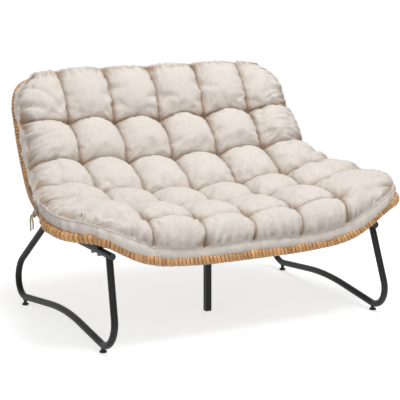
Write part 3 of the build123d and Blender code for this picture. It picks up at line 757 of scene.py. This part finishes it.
def tie_band(name, centre, axis, seed):
    axis = axis / np.linalg.norm(axis)
    normal = np.cross(axis, (0.0, 0.0, 1.0))
    normal /= np.linalg.norm(normal)
    turns = np.linspace(0, 2 * math.pi, band_rings, endpoint=False)[:, None]
    spokes = np.cos(turns) * normal + np.sin(turns) * np.cross(axis, normal)
    line = centre + axis * band_slide * np.sin(2 * turns + seed) + spokes * band_radius
    outs = (line - centre) / lengths(line - centre)
    rounds = []
    for along, rise in band_profile:
        folds = 1 + 0.35 * noises(np.arange(band_rings)[:, None] / 3, along * 3, seed)
        rounds.append(line + axis * along * band_width + outs * (rise * band_thick * folds))
    faces = ring_faces(band_rings, len(band_profile), closed=True)
    return new_piece(name, np.stack(rounds, 1), faces, tie_cloth)


for hand, name in ((1.0, "right"), (-1.0, "left")):
    flip = np.array((hand, 1.0, 1.0))
    low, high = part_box("tie_" + name)
    knot_x = low.x + knot_from_end if hand < 0 else high.x - knot_from_end
    knot_centre = Vector((knot_x, (low.y + high.y) / 2, (low.z + high.z) / 2))
    band_centre = seat_line[int(tie_from_joint / rim_step)] * flip
    rim_direction = (seat_line[30] - seat_line[20]) * flip
    pieces = [tie_band("tie_band_" + name, band_centre, rim_direction, hand)]
    for lobe, (shift, size, lean) in enumerate(knot_lobes):
        bpy.ops.mesh.primitive_uv_sphere_add(segments=28, ring_count=18, radius=1.0)
        knot = bpy.context.object
        knot.name = f"tie_knot_{name}_{lobe}"
        turned = Matrix.Rotation(lean, 3, "X")
        for vertex in knot.data.vertices:
            fold = 1 + 0.16 * math.sin(vertex.co.z * 9 + lobe) + 0.12 * noise.noise(vertex.co * 2.3)
            place = turned @ (vertex.co * Vector(size) * fold) + Vector(shift)
            vertex.co = place * Vector(flip) + knot_centre
        if hand < 0:
            knot.data.flip_normals()
        knot.data.polygons.foreach_set("use_smooth", [True] * len(knot.data.polygons))
        knot.data.materials.append(tie_cloth.material)
        pieces.append(knot)
    for piece in pieces:
        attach(piece, "frame")
        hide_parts("tie_" + name)
    for number, (length, route) in enumerate(end_routes, 1):
        curve = bpy.data.curves.new(f"tie_end_{name}_{number}", "CURVE")
        curve.dimensions = "3D"
        curve.bevel_depth = end_diameter / 2
        curve.bevel_resolution = 3
        curve.use_fill_caps = True
        curve.resolution_u = 16
        spline = curve.splines.new("NURBS")
        spline.points.add(len(route) - 1)
        for point, step in zip(spline.points, route):
            point.co = (*(knot_centre + Vector(step) * Vector(flip) / 1000), 1.0)
        spline.order_u = 3
        spline.use_endpoint_u = True
        curve.materials.append(tie_cloth.material)
        end = bpy.data.objects.new(curve.name, curve)
        bpy.context.scene.collection.objects.link(end)
        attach(end, "frame")
        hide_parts(f"tie_tail_{name}_{number}")


# Floor and backdrop.
# One pale sheet lies under the object and turns up behind it in a wide sweep. It looks white, and keeps the
# object's soft shadow only near the object.
paper = Finish("floor", roughness=0.9, specular=0.1)
paper_grain = paper.noise((40, 40, 40), detail=2.0)
paper.feed("Base Color", paper.blend(paper_grain.eased(0.3, 0.7), (0.70, 0.70, 0.70), (0.715, 0.715, 0.715)))
straight = paper.node("ShaderNodeLightPath", output="Is Camera Ray")
mirrored = paper.node("ShaderNodeLightPath", output="Is Glossy Ray")
seen = straight.maths("MAXIMUM", mirrored)
paper.feed("Emission Color", paper.blend(seen, (0.0, 0.0, 0.0), (0.66, 0.66, 0.66)))
paper.set(("Emission Strength", 1.0))
away = paper.node("ShaderNodeVectorMath", {"operation": "LENGTH"}, {0: paper.place}, "Value").eased(0.9, 2.1)
white = paper.node("ShaderNodeEmission", {}, {"Strength": 1.0})
lit = Wire(paper.tree, paper.shader.outputs["BSDF"])
joined = paper.node("ShaderNodeMixShader", {}, {0: away * seen, 1: lit, 2: white})
paper.tree.links.new(joined.socket, paper.tree.nodes["Material Output"].inputs["Surface"])

floor_half_width = 12.0
sweep_radius = 2.0
sweep_start = 4.0
sweep_angles = np.linspace(0.1, math.pi / 2, 12)
sweep = [(sweep_start + sweep_radius * math.sin(a), sweep_radius * (1 - math.cos(a))) for a in sweep_angles]
floor_profile = [(-9.0, 0.0), (sweep_start, 0.0)] + sweep + [(sweep_start + sweep_radius, 9.0)]
floor_points = [(x, y, z) for y, z in floor_profile for x in (-floor_half_width, floor_half_width)]
floor_faces = [(2 * k, 2 * k + 1, 2 * k + 3, 2 * k + 2) for k in range(len(floor_profile) - 1)]
new_piece("floor", floor_points, floor_faces, paper)


# Light.
# A bright even surround that looks white, a wide soft key lamp high on the front right, a weak fill lamp on
# the left, and a low one in front that does the work of a white card.
world = bpy.data.worlds.new("surround")
bpy.context.scene.world = world
world.use_nodes = True
background = world.node_tree.nodes["Background"]
background.inputs["Color"].default_value = (1.0, 1.0, 1.0, 1.0)
glow = Wire(world.node_tree).node("ShaderNodeLightPath", output="Is Camera Ray").eased(0.0, 1.0, 0.37, 1.0)
world.node_tree.links.new(glow.socket, background.inputs["Strength"])


def soft_lamp(name, place, target, size, power):
    lamp = bpy.data.lights.new(name, "AREA")
    lamp.shape = "DISK"
    lamp.size = size
    lamp.energy = power
    holder = bpy.data.objects.new(name, lamp)
    holder.location = place
    holder.rotation_euler = (Vector(target) - Vector(place)).to_track_quat("-Z", "Y").to_euler()
    bpy.context.scene.collection.objects.link(holder)


soft_lamp("key", (0.45, -0.95, 3.8), (0.0, 0.0, 0.3), 2.6, 113)
soft_lamp("fill", (-2.8, -2.2, 1.6), (0.0, 0.0, 0.35), 2.0, 10)
soft_lamp("card", (-0.9, -3.0, 0.25), (0.0, -0.4, 0.38), 1.6, 13)


# Camera.
# A long lens on the front left, somewhat above the back's top edge, looks down at the middle of the seat.
camera_data = bpy.data.cameras.new("camera")
camera_data.lens = 117.0
camera_data.sensor_width = 36.0
camera = bpy.data.objects.new("camera", camera_data)
camera.location = (-2.01085, -3.79549, 1.20787)
view_centre = Vector((0.0358, 0.0279, 0.3539))
camera.rotation_euler = (view_centre - camera.location).to_track_quat("-Z", "Y").to_euler()
bpy.context.scene.collection.objects.link(camera)
bpy.context.scene.camera = camera
bpy.context.scene.view_settings.view_transform = "Standard"
